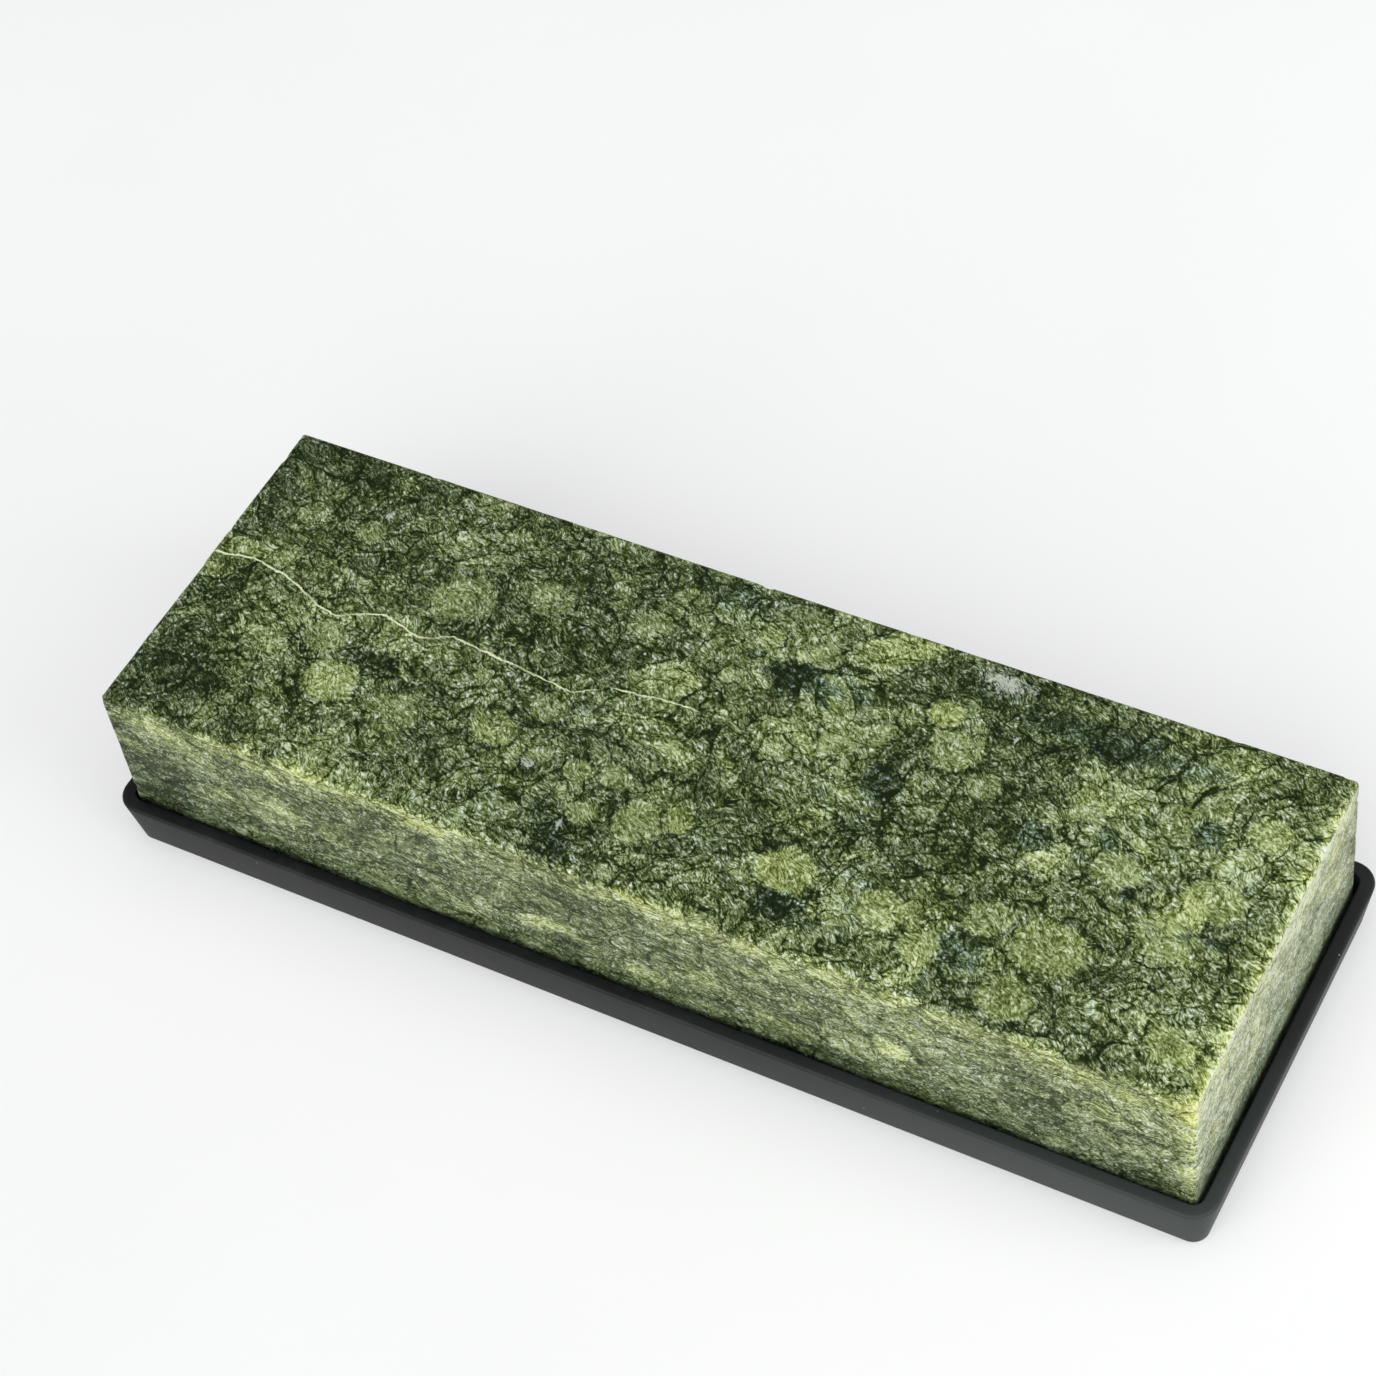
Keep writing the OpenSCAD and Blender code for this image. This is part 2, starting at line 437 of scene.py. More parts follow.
LARGE_CELL = 8.6       # scattered nodules of two sizes, and the dark veins round them
SMALL_CELL = 4.2
CRYSTAL = 0.62         # bright crystals, and the flakes of the same size
HATCH_TURN = 38        # how far the finest grain slants across the stone, in degrees


class StonePattern:
    """The fields that the stone's colour and bump are made from, at each point of the block.

    The stone's tone is the sum of two fields: broad, the soft changes over millimetres, and fine,
    the crisp ones of the crystals and the hairlines.
    """

    def __init__(self, g):
        self.g = g
        self.at = g.place(STONE_MID)
        self.x, self.y, self.z = g.parts(self.at)
        self.bed = g.vector("MULTIPLY", self.at, (0.88, 1.0, FLATTEN))
        drifted = g.drift(g.drift(self.bed, 16, 3.5), 5.5, 0.9)
        self.bent = g.drift(drifted, 1.5, 0.28)
        self.shred = g.noise(self.bed, 3.6, 6, 0.80)
        self.faces()
        self.nodules()
        self.matrix()
        self.dark_patches()
        self.veins_and_hairlines()
        self.crystals_in_the_matrix()
        self.pale_faces()

    def stretched(self, factors):
        """The bent bedding, stretched or squeezed along each axis."""
        return self.g.vector("MULTIPLY", self.bent, factors)

    def faces(self):
        """Where the sawn ends and the long sides are, the depth below the upper face, and how
        much painted glow lies near the front and right edges."""
        g = self.g
        top = self.z * -1 + STONE_HALF[2]
        front = self.y + STONE_HALF[1]
        back = self.y * -1 + STONE_HALF[1]
        right = self.x * -1 + STONE_HALF[0]
        left = self.x + STONE_HALF[0]
        self.below_top = top
        self.ends = right.decay(0.3).most(left.decay(0.3))
        self.sides = front.decay(0.3).most(back.decay(0.3))
        ragged = g.noise(self.bed, 3.2, 4, 0.72)
        band = (top + ragged * 1.6 + g.noise(self.bed, 14, 2) * 2.0).step(6.6, 2.2)
        # Painted glow: light painted along the front's upper band, at the front right corner and
        # along the right edge.
        along_front = band * front.decay(0.55) * 0.54
        at_corner = front.decay(1.6) * right.decay(2.2) * 0.85
        along_right = (top + ragged).step(6.0, 0.0) * right.decay(1.8) * 1.05
        self.light = (along_front + at_corner + along_right) * (ragged * 0.5 + 1)

    def nodules(self):
        """The placed nodules, and two sizes of scattered ones, each with a dark margin."""
        g = self.g
        depth = g.attribute("nodule") + g.noise(self.bed, 3.4, 5, 0.72) * 0.24
        self.placed = depth.step(-0.11, 0.23)
        far, self.far_random = g.cells(self.bent, LARGE_CELL)
        near, self.near_random = g.cells(self.bent, SMALL_CELL)
        large_depth = self.far_random[0] * 0.26 + 0.40 - far
        small_depth = self.near_random[0] * 0.30 + 0.32 - near
        self.large = large_depth.step(-0.02, 0.18)
        self.small = small_depth.step(-0.02, 0.18)
        margin = (depth + 0.12).size().step(0.14, 0.02) * g.attribute("nodule_strength") * 0.8
        margin = margin + (large_depth + 0.04).size().step(0.08, 0.0) * 0.5
        self.margin = margin * g.noise(self.bed, 2.6, 3).step(-0.5, 0.6)

    def matrix(self):
        """Cloudy and drawn out along the stone, with the nodules in it. It is darker to the left,
        and towards both long edges."""
        g = self.g
        far_random, near_random = self.far_random, self.near_random
        clouds = g.noise(self.bent, 30, 7, 0.64)
        streaks = g.noise(self.stretched((0.30, 1.0, 1.6)), 2.8, 5, 0.72)
        broad = clouds * 0.17 + streaks * 0.12 + 0.525
        broad = broad - self.x.step(-68, -88) * 0.095
        broad = broad - self.y.step(15, 26) * 0.03 - self.y.step(-16, -27) * 0.025
        broad = broad + self.large * (far_random[1] * 0.13 - 0.02)
        broad = broad + self.small * (near_random[1] * 0.08 - 0.01)
        broad = broad + (far_random[2] - 0.5) * 0.07 + (near_random[2] - 0.5) * 0.11
        # The nodules brighten a little towards the right end: painted light on the soft box's side.
        target = g.attribute("nodule_strength") * 0.11 + 0.57 + self.x * 0.0003
        self.broad = broad + (target - broad) * self.placed * 0.66

        self.mottle = g.noise(self.bent, 1.4, 3, 0.85)
        slanting = g.turned(g.drift(self.at, 4, 0.8), HATCH_TURN)
        hatch_at = g.vector("MULTIPLY", slanting, (0.48, 1.2, 1.2))
        self.grain = g.noise(hatch_at, 0.36, 1, 0.7)
        _, flake_random = g.cells(hatch_at, CRYSTAL)
        flakes = flake_random[0] - 0.5
        calm = self.sides * 0.18 + self.ends * 0.35 + self.placed * 0.18 + self.large * 0.10
        self.fine = (self.mottle * 0.14 + self.grain * 0.32 + flakes * 0.25) * (1 - calm)

    def dark_patches(self):
        """The placed dark patches, torn at their borders."""
        torn = self.shred * 0.6 + (self.near_random[0] - 0.5) * 0.9
        dark = (self.g.attribute("dark_spot") * 1.4 + torn).step(-0.15, 0.55)
        self.dark = dark * self.g.attribute("dark_strength")
        self.broad = self.broad - self.dark * 0.18

    def veins_and_hairlines(self):
        """Thin dark veins round the cells, crevices, and hairlines along the layers."""
        g = self.g
        rim = g.cells(self.bent, LARGE_CELL, "DISTANCE_TO_EDGE")
        rim_small = g.cells(self.bent, SMALL_CELL, "DISTANCE_TO_EDGE")
        open_here = g.noise(self.bed, 7, 2).step(-0.5, 0.4)
        self.veins = rim.step(0.040, 0.0) * open_here * 0.34 + rim_small.step(0.055, 0.0) * 0.25
        crevice = g.noise(self.stretched((0.55, 1.0, 1.0)), 6.5, 4, 0.6).size().step(0.11, 0.0)
        crevice = crevice * g.noise(self.bed, 12, 3, 0.6).step(-0.5, 0.7)
        layers = g.noise(self.stretched((0.22, 1.0, 1.2)), 3.2, 3, 0.6)
        hair = (layers - 0.1).size().step(0.08, 0.01) + (layers + 0.45).size().step(0.07, 0.01)
        self.hair = hair * g.noise(self.bed, 5, 2).step(-0.3, 0.5)
        lines = (self.veins + crevice * 0.22) * (self.placed * -0.8 + 1) + self.hair * 0.16
        lines = lines * (self.ends * -0.6 + 1) * (self.sides * -0.35 + 1)
        self.fine = self.fine - lines
        self.broad = self.broad - self.margin * 0.22

    def crystals_in_the_matrix(self):
        """Small bright crystals, thick in some places."""
        crystal, crystal_random = self.g.cells(self.at, CRYSTAL)
        crystals = crystal_random[0].step(0.75, 0.95) * crystal.step(0.55, 0.20)
        self.crystals = crystals * self.g.noise(self.bed, 6, 3, 0.6).step(-0.8, 0.8)
        self.fine = self.fine + self.crystals * 0.22

    def pale_faces(self):
        """The sawn ends are paler and silky, with a painted glow towards the upper face, and the
        sides are drawn out along the stone. The front and right edges are paler too, by a painted
        glow."""
        g, x, y, z, ends, sides = self.g, self.x, self.y, self.z, self.ends, self.sides
        silk_at = g.add("CombineXYZ", {0: x * 0.3, 1: y * 0.3, 2: z + y * 0.5}).outputs[0]
        side_at = g.add("CombineXYZ", {0: x * 0.35, 1: y, 2: z * 1.1 + x * 0.12}).outputs[0]
        # The ends are paler, and a painted glow brightens them towards the upper face.
        end_tone_and_glow = self.below_top.step(26, 3) * 0.115 + 0.255
        broad = self.broad * (ends * -0.25 + 1) + ends * end_tone_and_glow
        broad = broad + g.noise(silk_at, 3.0, 4, 0.6) * ends * 0.08
        # The painted glow pales the front and right edges, half as much on the ends.
        broad = broad + (self.light * (ends * -0.5 + 1) * 0.17).least(0.28) + sides * 0.060
        self.broad = broad + g.noise(side_at, 2.8, 4, 0.6) * sides * x.step(95, 10) * 0.095


def body_colour(p):
    """The colour for the stone's tone, bluer where fine crystals are bright and on the sawn
    faces, and yellower where the painted glow lies near the front and right edges."""
    g = p.g
    colour = g.ramp(p.broad + p.fine, STONE_TONES)
    colour = g.tint(colour, 1.0, 1.0, (p.fine * 2.0).raised())
    colour = g.blend(colour, (0.64, 0.71, 0.53), p.crystals * 0.34)
    colour = g.blend(colour, (1.05, 1.0, 1.11), p.sides, "MULTIPLY")
    # The painted glow yellows the front and right edges, but not the ends.
    glow = p.light.least(1.0) * (p.ends * -1 + 1)
    colour = g.blend(colour, (1.10, 1.05, 0.70), glow * 0.8, "MULTIPLY")
    return g.blend(colour, (1.09, 1.0, 1.42), p.ends, "MULTIPLY")


def spot_hues(p, colour):
    """Yellow nodules, blue-green patches and whitish crystals."""
    g = p.g
    scattered = p.large * p.far_random[2].step(0.7, 1.0) * 0.8
    yellow = (p.placed * g.attribute("nodule_yellow")).most(scattered)
    colour = g.blend(colour, (1.12, 1.06, 0.72), yellow * 0.6, "MULTIPLY")
    cool = g.noise(p.bed, 16, 5, 0.65)
    colour = g.tint(colour, cool * -0.02 + 1, 1.0, cool * 0.10 + 1)
    inky = p.dark * (p.x.step(-45, -15) * 0.7 + 0.3)
    colour = g.blend(colour, (0.92, 1.0, 1.24), inky.least(1.0), "MULTIPLY")
    white = (g.attribute("white_spot") + p.shred * 0.8 + p.grain * 0.4).step(0.1, 0.8)
    return g.blend(colour, (0.46, 0.50, 0.44), white * 0.7)


def vein_and_crack(p, colour):
    """The colour with the pale vein, the dark line beside it and the crack, and where the crack
    is. The vein is broken off at x -18.4, where it steps aside, and fades out past x -6."""
    g, x = p.g, p.x
    wander = g.noise(p.bed, 2.4, 5, 0.7) * 0.42
    across = g.attribute("vein") + wander
    present = x.step(-2.5, -6.0) * (x + 18.4).size().step(0.6, 1.6)
    fade = present * (g.noise(p.bed, 4, 2).step(-0.9, 0.2) * 0.6 + 0.4)
    fade = fade * (g.noise(p.bed, 0.7, 2) * 0.5 + 0.95).least(1.0)
    width = x.step(-20, -60) * 0.05 + 0.14
    beside = (across - 0.35).size().step(0.4, 0.05) * fade
    colour = g.blend(colour, (0.25, 0.32, 0.22), beside * 0.6, "MULTIPLY")
    colour = g.blend(colour, (0.60, 0.64, 0.40), (across.size() / width).step(1.4, 0.4) * fade)
    near_crack = (x + 11).size().step(8.6, 7.0)
    split = (g.attribute("crack") + wander * 1.5).size().step(0.36, 0.10) * near_crack
    return g.blend(colour, (0.16, 0.26, 0.20), split * 0.85, "MULTIPLY"), split


def painted_foot_shade(p, colour):
    """The colour with painted shade where the stone stands in the tray, darkest along the rim."""
    above_rim = p.below_top * -1 + (STONE_MID[2] + STONE_HALF[2] - RIM_Z)
    torn_height = above_rim + p.shred * 0.5
    # Painted shade: darkest along the rim line, lighter again lower down inside the tray.
    rim_line_shade = torn_height.step(2.0, 0.0) * (torn_height.step(-0.6, -2.2) * -0.75 + 1)
    colour = p.g.blend(colour, (0.15, 0.18, 0.18), rim_line_shade, "MULTIPLY")
    # Painted shade over the foot, fading out 8 mm above the rim.
    foot_shade = (above_rim + p.shred).step(8.0, 1.0)
    return p.g.blend(colour, (0.62, 0.66, 0.62), foot_shade, "MULTIPLY")


def stone_material():
    g, shader, material = new_material("green_stone_lapped")
    p = StonePattern(g)
    colour, split = vein_and_crack(p, spot_hues(p, body_colour(p)))
    rough = p.grain * 0.05 + p.mottle * 0.04 + 0.44 - p.placed * 0.05 + p.ends * 0.08
    height = p.grain * 0.012 + p.mottle * 0.012 - p.hair * 0.02 - p.veins * 0.03 - split * 0.06
    g.feed(painted_foot_shade(p, colour), shader.inputs["Base Color"])
    g.feed(rough, shader.inputs["Roughness"])
    g.feed(g.bump(height), shader.inputs["Normal"])
    shader.inputs["Specular IOR Level"].default_value = 0.12
    shader.inputs["Subsurface Weight"].default_value = 0.12
    shader.inputs["Subsurface Radius"].default_value = (0.8, 1.0, 0.45)
    shader.inputs["Subsurface Scale"].default_value = MM
    return material


# ---- the tray ----

RIM_W = 2.3            # flat rim round the seat
RIM_CORNER_R = 4.0     # upright corners at the rim
WALL_LEAN = 1.5        # how far the walls lean in down to the lower edge
SKIRT_T = 2.0          # thickness of the skirt at its lower edge
SEAT_CORNER_R = 1.0
SEAT_DEPTH = 5.1       # from the rim down to the seat's floor
FLOOR_T = 2.0
SEAT_RIB_W = 2.0
SEAT_RIB_H = 0.6
SEAT_RIB_COUNT = 4
SEAT_RIB_INSET = 6.0
UNDER_RIB_T = 1.4
UNDER_RIB_LOW = 0.6    # height of the stiffening ribs above the lower edge
LONG_RIB_Y = 10.0
CROSS_RIB_COUNT = 5
FOOT_R = 6.0
FOOT_TOP = 2.0         # height of a foot, and of the recess that holds it
RECESS_R = 6.1
BOSS_R = 7.7
RIB_EDGE = 0.2         # rounding along the edges of the ribs
RIB_ROOT = 0.4         # how far a rib reaches into what it grows from
PIN_R = 2.5            # marks of the mould's ejector pins, under the floor
PIN_DEPTH = 0.1
PIN_XS = (-57, -19, 19, 57)
PIN_YS = (-20, 0, 20)
SIDE_STEPS = (30, 12)  # mesh steps along the tray's long sides and short sides
CORNER_STEPS = 8
LAST_INSET = 14        # the tray's rings end this far inside the skirt and the seat
TRAY_LOW = TRAY_MID[2] - TRAY_HALF[2]
SEAT_Z = RIM_Z - SEAT_DEPTH
UNDER_Z = SEAT_Z - FLOOR_T
FOOT_NODES = {
    "foot_front_left": "pad_front_left", "foot_front_right": "pad_front_right",
    "foot_back_left": "pad_back_left", "foot_back_right": "pad_back_right",
}


def arc(middle, radius, start, end, count):
    """Points on an arc, with angles in degrees."""
    angles = (math.radians(start + (end - start) * k / count) for k in range(count + 1))
    return [(middle[0] + radius * math.cos(a), middle[1] + radius * math.sin(a)) for a in angles]


def tray_profile():
    """The tray's section as (inset from the rim's outline, z), from under the floor round the
    rim to the seat's floor."""
    skirt_in = WALL_LEAN + SKIRT_T
    rim_out_r, rim_in_r, foot_r, fillet = 0.5, 0.4, 0.35, 0.5
    return (
        [(skirt_in + LAST_INSET, UNDER_Z)]
        + arc((skirt_in + fillet, UNDER_Z - fillet), fillet, 90, 180, 4)
        + arc((skirt_in - foot_r, TRAY_LOW + foot_r), foot_r, 360, 270, 4)
        + arc((WALL_LEAN + foot_r, TRAY_LOW + foot_r), foot_r, 270, 180, 4)
        + arc((rim_out_r, RIM_Z - rim_out_r), rim_out_r, 180, 90, 6)
        + arc((RIM_W - rim_in_r, RIM_Z - rim_in_r), rim_in_r, 90, 0, 6)
        + arc((RIM_W + fillet, SEAT_Z + fillet), fillet, 180, 270, 4)
        + [(RIM_W + LAST_INSET, SEAT_Z)]
    )


def corner_radius(inset):
    """Radius of the tray's upright corners, which is smaller inside the skirt and the seat."""
    return max(RIM_CORNER_R - inset, SEAT_CORNER_R)


def rounded_ring(half_x, half_y, radius, z):
    """Points round a rectangle with round corners, anticlockwise from its right side."""
    inner_x, inner_y = half_x - radius, half_y - radius
    corners = [(inner_x, inner_y, 0), (-inner_x, inner_y, 90), (-inner_x, -inner_y, 180),
               (inner_x, -inner_y, 270)]
    ring = []
    for number, (cx, cy, start) in enumerate(corners):
        ring += arc((cx, cy), radius, start, start + 90, CORNER_STEPS)
        nx, ny, next_start = corners[(number + 1) % 4]
        turn = math.radians(next_start)
        end = (nx + radius * math.cos(turn), ny + radius * math.sin(turn))
        begin = ring[-1]
        count = SIDE_STEPS[number % 2]
        for k in range(1, count):
            share = k / count
            ring.append((begin[0] + (end[0] - begin[0]) * share,
                         begin[1] + (end[1] - begin[1]) * share))
    return [(px + TRAY_MID[0], py + TRAY_MID[1], z) for px, py in ring]


def tray_shell(material):
    """The tray without its ribs: rings along the section, closed by a face at each end."""
    rings = []
    for inset, z in tray_profile():
        half_x, half_y = TRAY_HALF[:2] - inset
        rings.append(rounded_ring(half_x, half_y, corner_radius(inset), z))
    count = len(rings[0])
    points = [p for ring in rings for p in ring]
    faces = [list(range(count))[::-1]]
    for r in range(len(rings) - 1):
        for k in range(count):
            a, b = r * count + k, r * count + (k + 1) % count
            faces.append([a, b, b + count, a + count])
    faces.append([(len(rings) - 1) * count + k for k in range(count)])
    return piece_from("tray_shell", points, faces, material)


def bar(low, high, material):
    """A bar between two corners, with its edges rounded."""
    bm = bmesh.new()
    bmesh.ops.create_cube(bm, size=1)
    low, high = np.array(low), np.array(high)
    for vertex in bm.verts:
        vertex.co = Vector((low + high) / 2 + np.array(vertex.co) * (high - low))
    bmesh.ops.bevel(bm, geom=bm.edges[:], offset=RIB_EDGE, segments=2, profile=0.5, affect="EDGES")
    points = [tuple(v.co) for v in bm.verts]
    faces = [[v.index for v in f.verts] for f in bm.faces]
    bm.free()
    return piece_from("bar", points, faces, material)


def lathe(profile, middle, count, material, name):
    """A closed solid of revolution: profile is (radius, z) from its lower to its upper axis point."""
    points = []
    faces = []
    rings = []
    for radius, z in profile:
        if radius == 0:
            rings.append([len(points)])
            points.append((middle[0], middle[1], z))
            continue
        rings.append(list(range(len(points), len(points) + count)))
        for k in range(count):
            turn = 2 * math.pi * k / count
            x, y = radius * math.cos(turn), radius * math.sin(turn)
            points.append((middle[0] + x, middle[1] + y, z))
    for lower, upper in zip(rings, rings[1:]):
        for k in range(count):
            n = (k + 1) % count
            if len(lower) == 1:
                faces.append([lower[0], upper[n], upper[k]])
            elif len(upper) == 1:
                faces.append([lower[k], lower[n], upper[0]])
            else:
                faces.append([lower[k], lower[n], upper[n], upper[k]])
    return piece_from(name, points, faces, material)


def combine(base, others, operation):
    """Joins the other pieces to the base, or cuts them out of it, and removes them."""
    for other in others:
        change = base.modifiers.new("combine", "BOOLEAN")
        change.operation = operation
        change.solver = "EXACT"
        change.object = other
    graph = bpy.context.evaluated_depsgraph_get()
    mesh = bpy.data.meshes.new_from_object(base.evaluated_get(graph))
    base.modifiers.clear()
    base.data = mesh
    for other in others:
        bpy.data.objects.remove(other)


def tray_ribs(material):
    """Ribs in the seat, which the stone stands on, ribs under the floor, and the feet's bosses.
    The lower faces of those under the floor differ a little, so no two lie in one plane."""
    rib_low = TRAY_LOW + UNDER_RIB_LOW
    rib_top = UNDER_Z + RIB_ROOT
    seat_half = TRAY_HALF[:2] - RIM_W
    skirt_half = TRAY_HALF[:2] - WALL_LEAN - SKIRT_T
    pieces = []
    pitch = 2 * seat_half[1] / SEAT_RIB_COUNT
    reach = seat_half[0] - SEAT_RIB_INSET
    for k in range(SEAT_RIB_COUNT):
        y = (k + 0.5) * pitch - seat_half[1]
        pieces.append(bar((-reach, y - SEAT_RIB_W / 2, SEAT_Z - RIB_ROOT),
                          (reach, y + SEAT_RIB_W / 2, SEAT_Z + SEAT_RIB_H), material))
    for side in (-1, 1):
        y = side * LONG_RIB_Y
        pieces.append(bar((-skirt_half[0] - RIB_ROOT, y - UNDER_RIB_T / 2, rib_low),
                          (skirt_half[0] + RIB_ROOT, y + UNDER_RIB_T / 2, rib_top), material))
    foot_x = max(box_in_mm(node)[0][0] for node in FOOT_NODES)
    for k in range(CROSS_RIB_COUNT):
        x = foot_x * (2 * k / (CROSS_RIB_COUNT - 1) - 1)
        pieces.append(bar((x - UNDER_RIB_T / 2, -skirt_half[1] - RIB_ROOT, rib_low + 0.03),
                          (x + UNDER_RIB_T / 2, skirt_half[1] + RIB_ROOT, rib_top), material))
    for node in FOOT_NODES:
        middle, _ = box_in_mm(node)
        profile = [(0, rib_low - 0.02), (BOSS_R - 0.25, rib_low - 0.02), (BOSS_R, rib_low + 0.23),
                   (BOSS_R, rib_top - 0.05), (0, rib_top - 0.05)]
        pieces.append(lathe(profile, middle, 64, material, "boss"))
    return pieces


def tray_cutters(material):
    """Recesses for the feet, and the shallow marks of the mould's ejector pins."""
    rib_low = TRAY_LOW + UNDER_RIB_LOW
    cutters = []
    for node in FOOT_NODES:
        middle, _ = box_in_mm(node)
        profile = [(0, TRAY_LOW - 1), (RECESS_R + 0.2, TRAY_LOW - 1), (RECESS_R + 0.2, rib_low),
                   (RECESS_R, rib_low + 0.2), (RECESS_R, FOOT_TOP), (0, FOOT_TOP)]
        cutters.append(lathe(profile, middle, 64, material, "recess"))
    below, above = UNDER_Z - 0.5, UNDER_Z + PIN_DEPTH
    for x in PIN_XS:
        for y in PIN_YS:
            profile = [(0, below), (PIN_R, below), (PIN_R, above), (0, above)]
            cutters.append(lathe(profile, (x, y), 32, material, "pin_mark"))
    return cutters


def outline_distance(points):
    """Distance of each point inside the tray's outer outline at rim height."""
    inner = TRAY_HALF[:2] - RIM_CORNER_R
    away = np.abs(points[:, :2] - TRAY_MID[:2]) - inner
    outside = np.linalg.norm(np.maximum(away, 0), axis=1)
    inside = np.minimum(away.max(axis=1), 0)
    return RIM_CORNER_R - outside - inside


def edge_wear_and_highlight(points):
    """How much each point gets of the rim's wear and painted highlight: 1 along the rim's outer and
    inner edges, 0 away from them.
    """
    inset = outline_distance(points)
    to_edge = np.minimum(np.abs(inset - 0.15), np.abs(inset - RIM_W))
    below_rim = RIM_Z - points[:, 2]
    return np.clip(1 - to_edge / 0.5, 0, 1) * np.clip(1 - below_rim / 0.6, 0, 1)


def make_tray():
    material = tray_material()
    tray = tray_shell(material)
    combine(tray, tray_ribs(material), "UNION")
    combine(tray, tray_cutters(material), "DIFFERENCE")
    tray.name = "tray_moulding"
    bm = bmesh.new()
    bm.from_mesh(tray.data)
    bmesh.ops.triangulate(bm, faces=[f for f in bm.faces if len(f.verts) > 4])
    bm.to_mesh(tray.data)
    bm.free()
    tray.data.shade_smooth()
    tray.data.set_sharp_from_angle(angle=math.radians(32))
    points = np.array([v.co for v in tray.data.vertices]) / MM
    store(tray.data, "worn_edge_and_highlight", edge_wear_and_highlight(points))
    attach(tray, "tray")
    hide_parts("tray")
    return tray


def tray_material():
    g, shader, material = new_material("black_plastic_moulded")
    at = g.place(TRAY_MID)
    x, y, z = g.parts(at)
    sparkle = g.noise(at, 0.22, 1, 0.6)
    flow = g.noise(g.vector("MULTIPLY", at, (0.3, 0.5, 1.0)), 22, 3, 0.6)
    smudge = g.noise(at, 6, 4, 0.65)
    scuff = g.noise(g.vector("MULTIPLY", at, (0.25, 0.25, 2.0)), 1.2, 3, 0.7).step(0.45, 1.1)
    # Rubbed wear and a painted highlight: the rim's outer and inner edges are lighter and smoother.
    worn_and_highlight = g.attribute("worn_edge_and_highlight") * (smudge * 0.4 + 0.7)
    seat_x, seat_y = TRAY_HALF[:2] - RIM_W
    seat_z = TRAY_HALF[2] - SEAT_DEPTH
    in_seat = x.size().step(seat_x - 0.3, seat_x - 0.9) * y.size().step(seat_y - 0.3, seat_y - 0.9)
    in_seat = in_seat * z.step(seat_z - 0.3, seat_z + 0.1)
    pool = g.noise(at, 26, 5, 0.6)
    slurry = pool.step(-0.4, 0.6) * 0.7 + (pool - 0.05).size().step(0.10, 0.0) * 0.3
    slurry = (slurry + smudge * 0.1) * in_seat
    speck, random = g.cells(at, 1.5)
    dust = random[0].step(0.90, 0.92) * speck.step(0.12, 0.05) * g.noise(at, 9, 2).step(-0.2, 0.6)
    # Smudges of dirt, and painted light that greys the plastic towards the right front, where the
    # soft box shines.
    dirt_and_painted_light = smudge.step(-0.2, 1.4) * 0.25 + x.step(-10, 90) * (y.step(10, -30) * 0.72 + 0.28)

    colour = g.blend((0.0060, 0.0063, 0.0070), (0.030, 0.036, 0.034), dirt_and_painted_light)
    colour = g.blend(colour, (0.030, 0.031, 0.032), (worn_and_highlight * 0.6).least(1.0))
    colour = g.blend(colour, (0.035, 0.036, 0.035), scuff * 0.2)
    colour = g.blend(colour, (0.050, 0.058, 0.048), slurry * 0.7)
    colour = g.blend(colour, (0.42, 0.43, 0.38), dust)
    g.feed(colour, shader.inputs["Base Color"])
    rough = sparkle * 0.03 + smudge * 0.035 + flow * 0.02 + 0.42 - worn_and_highlight * 0.10 + dust * 0.3
    rough = rough + slurry * 0.25
    g.feed(rough, shader.inputs["Roughness"])
    height = sparkle * 0.006 + flow * 0.02 + scuff * 0.003 + dust * 0.03
    g.feed(g.bump(height), shader.inputs["Normal"])
    shader.inputs["Specular IOR Level"].default_value = 0.13
    return material


# ---- the feet ----

def rubber_material():
    g, shader, material = new_material("foot_rubber_black")
    at = g.place((0, 0, 0))
    grain = g.noise(at, 0.25, 2, 0.6)
    bloom = g.noise(at, 3, 4, 0.6)
    grit, random = g.cells(at, 0.9)
    specks = random[0].step(0.90, 0.93) * grit.step(0.16, 0.08)
    colour = g.blend((0.012, 0.012, 0.012), (0.035, 0.034, 0.032), bloom.step(-0.6, 1.2))
    colour = g.blend(colour, (0.20, 0.20, 0.17), specks * 0.8)
    g.feed(colour, shader.inputs["Base Color"])
    g.feed(grain * 0.05 + bloom * 0.06 + 0.80, shader.inputs["Roughness"])
    g.feed(g.bump(grain * 0.012 + specks * 0.03), shader.inputs["Normal"])
    shader.inputs["IOR"].default_value = 1.45
    return material


def foot_profile(low, high):
    """A foot's section: a rounded lower edge, two shallow grooves and a slightly hollow face."""
    edge = 0.4
    groove = 0.12
    face = [(0, low + 0.18), (1.4, low + 0.12), (1.7, low + 0.30), (2.0, low + 0.10)]
    ring = [(3.2, low + 0.05), (3.5, low + 0.05 + groove), (3.8, low + 0.02)]
    rim = arc((FOOT_R - edge, low + edge), edge, 270, 360, 6)
    return face + ring + rim + [(FOOT_R, high - 0.1), (FOOT_R - 0.1, high), (0, high)]


def make_feet():
    material = rubber_material()
    for node, name in FOOT_NODES.items():
        middle, half = box_in_mm(node)
        profile = foot_profile(middle[2] - half[2], middle[2] + half[2])
        foot = lathe(profile, middle, 72, material, name)
        foot.data.set_sharp_from_angle(angle=math.radians(40))
        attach(foot, "tray")
        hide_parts(node)


# ---- the studio ----

FLOOR_HALF = 9000      # half of the floor's width
FLOOR_GLOW = 0.30      # light that the floor gives off by itself
WORLD_TOP = 0.20       # brightness of the world overhead
WORLD_HORIZON = 0.97   # and at the horizon

# Broad lamps far away: azimuth from the front, elevation, spread and power.
LAMPS = {
    "ceiling_lamp": (35, 74, 80, 1.80),
    "front_lamp": (0, 32, 60, 1.95),
}

# A soft box near the right end: azimuth, elevation, distance, width and power.
SOFT_BOX = (88, 31, 800, 640, 3.1)

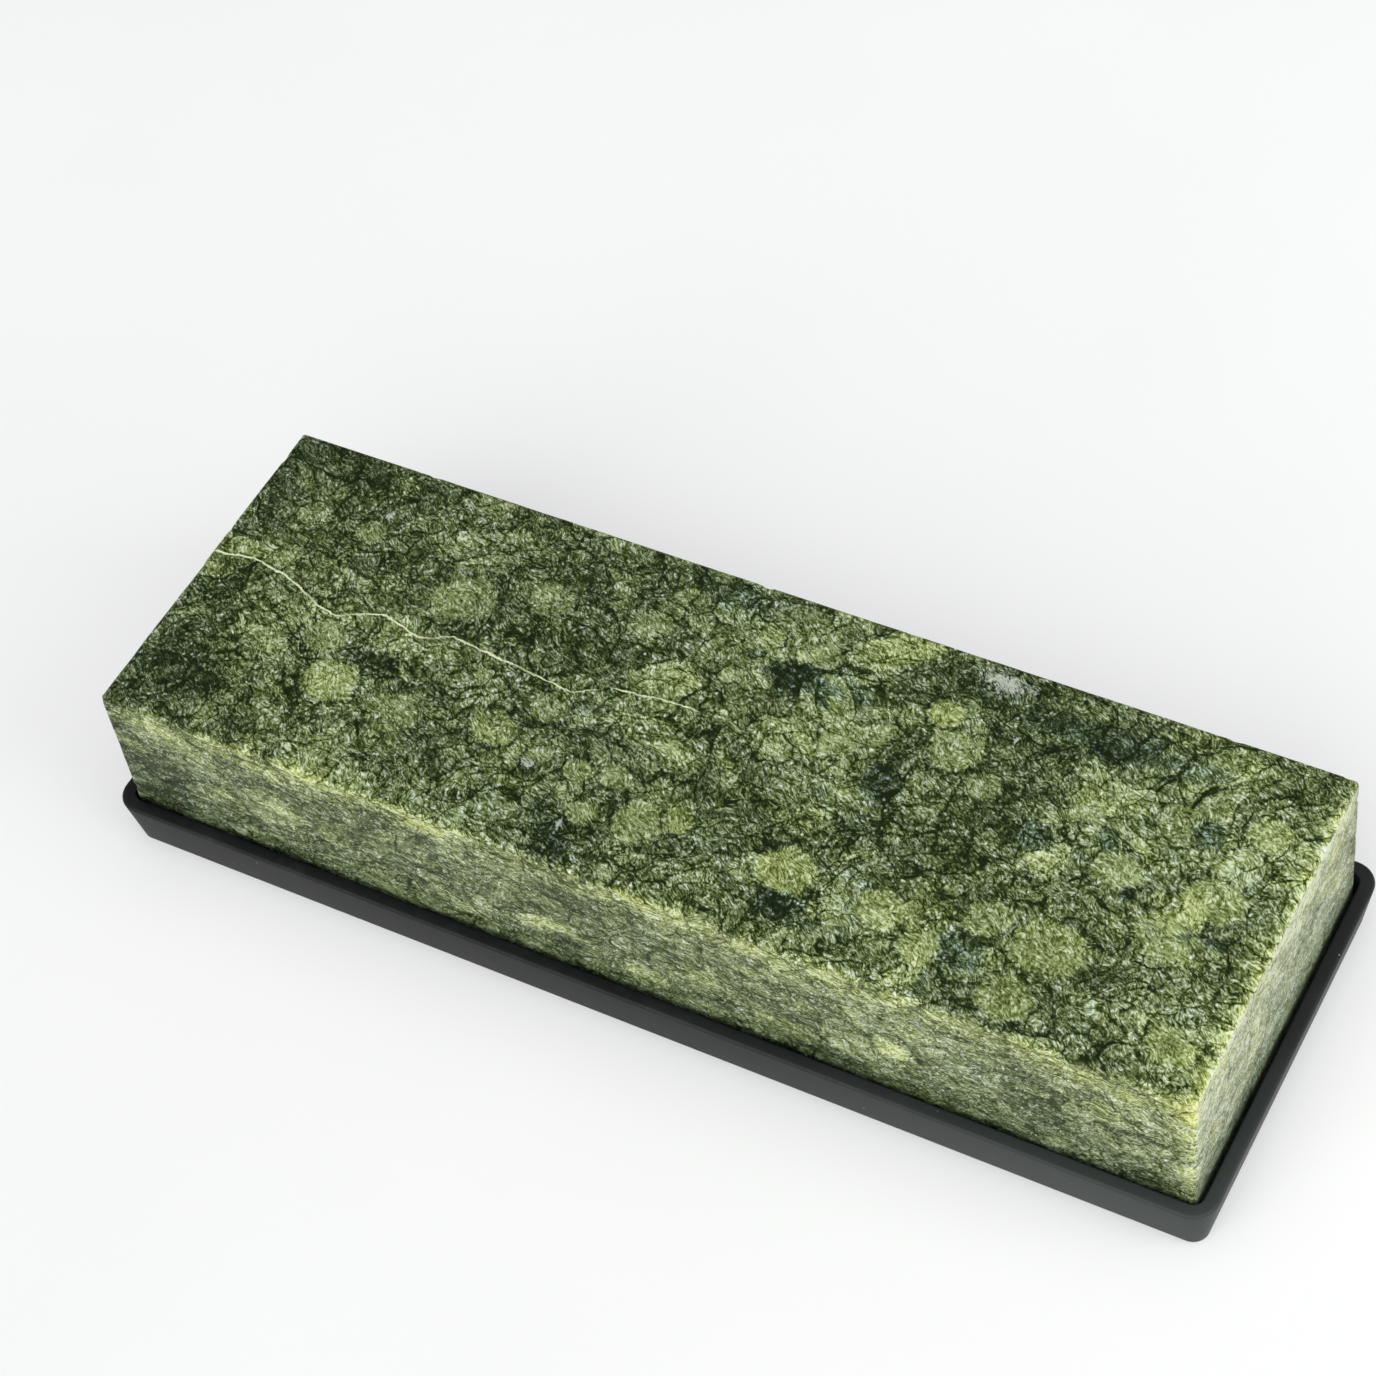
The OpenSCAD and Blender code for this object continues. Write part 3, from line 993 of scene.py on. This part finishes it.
# The camera looks at the stone's middle at rim height, then slides and rolls for the framing.
CAMERA_AZIMUTH = 36.06
CAMERA_ELEVATION = 50.37
CAMERA_ROLL = -10.24
CAMERA_DISTANCE = 529.5
CAMERA_SLIDE = (-5.68, 23.30)
CAMERA_LENS = 90.49


def direction(azimuth, elevation):
    """A unit vector towards a place: azimuth 0 is the front, 90 the right."""
    a, e = math.radians(azimuth), math.radians(elevation)
    return Vector((math.sin(a) * math.cos(e), -math.cos(a) * math.cos(e), math.sin(e)))


def make_floor():
    g, shader, material = new_material("studio_floor")
    at = g.place((0, 0, 0))
    cloud = g.noise(at, 90, 3, 0.5)
    colour = g.blend((0.500, 0.505, 0.505), (0.485, 0.490, 0.490), cloud.step(-1, 1))
    g.feed(colour, shader.inputs["Base Color"])
    g.feed(cloud * 0.02 + 0.7, shader.inputs["Roughness"])
    shader.inputs["Specular IOR Level"].default_value = 0.15
    shader.inputs["Emission Color"].default_value = (1, 1, 1, 1)
    shader.inputs["Emission Strength"].default_value = FLOOR_GLOW
    h = FLOOR_HALF
    floor = piece_from("floor", [(-h, -h, 0), (h, -h, 0), (h, h, 0), (-h, h, 0)], [[0, 1, 2, 3]],
                       material)


def make_world():
    world = bpy.data.worlds.new("studio")
    bpy.context.scene.world = world
    world.use_nodes = True
    g = Graph(world.node_tree)
    _, _, up = g.parts(g.add("TexCoord", {}).outputs["Generated"])
    colour = g.blend((WORLD_HORIZON,) * 3, (WORLD_TOP,) * 3, up.step(0.0, 0.40))
    g.feed(colour, world.node_tree.nodes["Background"].inputs["Color"])


def hang(name, lamp, towards):
    """Puts a lamp in the scene, shining from the direction towards it."""
    stand = bpy.data.objects.new(name, lamp)
    stand.rotation_mode = "QUATERNION"
    stand.rotation_quaternion = towards.to_track_quat("Z", "Y")
    bpy.context.collection.objects.link(stand)
    return stand


def make_lamps():
    for name, (azimuth, elevation, spread, power) in LAMPS.items():
        lamp = bpy.data.lights.new(name, "SUN")
        lamp.energy = power
        lamp.angle = math.radians(spread)
        hang(name, lamp, direction(azimuth, elevation))
    azimuth, elevation, distance, width, power = SOFT_BOX
    lamp = bpy.data.lights.new("soft_box", "AREA")
    lamp.shape = "DISK"
    lamp.size = width * MM
    lamp.energy = power
    stand = hang("soft_box", lamp, direction(azimuth, elevation))
    stand.location = direction(azimuth, elevation) * distance * MM
    stand.visible_camera = False


def make_camera():
    back = direction(CAMERA_AZIMUTH, CAMERA_ELEVATION)
    right = Vector((0, 0, 1)).cross(back).normalized()
    up = back.cross(right)
    roll = Matrix.Rotation(math.radians(CAMERA_ROLL), 3, back)
    right, up = roll @ right, roll @ up
    target = Vector((STONE_MID[0], STONE_MID[1], RIM_Z))
    place = target + right * CAMERA_SLIDE[0] + up * CAMERA_SLIDE[1] + back * CAMERA_DISTANCE
    camera = bpy.data.objects.new("camera", bpy.data.cameras.new("camera"))
    camera.data.lens = CAMERA_LENS
    camera.data.sensor_width = 36
    camera.data.clip_start = 0.02
    camera.data.clip_end = 50
    turn = Matrix((right, up, back)).transposed().to_4x4()
    camera.matrix_world = Matrix.Translation(place * MM) @ turn
    bpy.context.collection.objects.link(camera)
    bpy.context.scene.camera = camera


make_stone()
make_tray()
make_feet()
make_floor()
make_world()
make_lamps()
make_camera()
bpy.context.scene.view_settings.view_transform = "Standard"
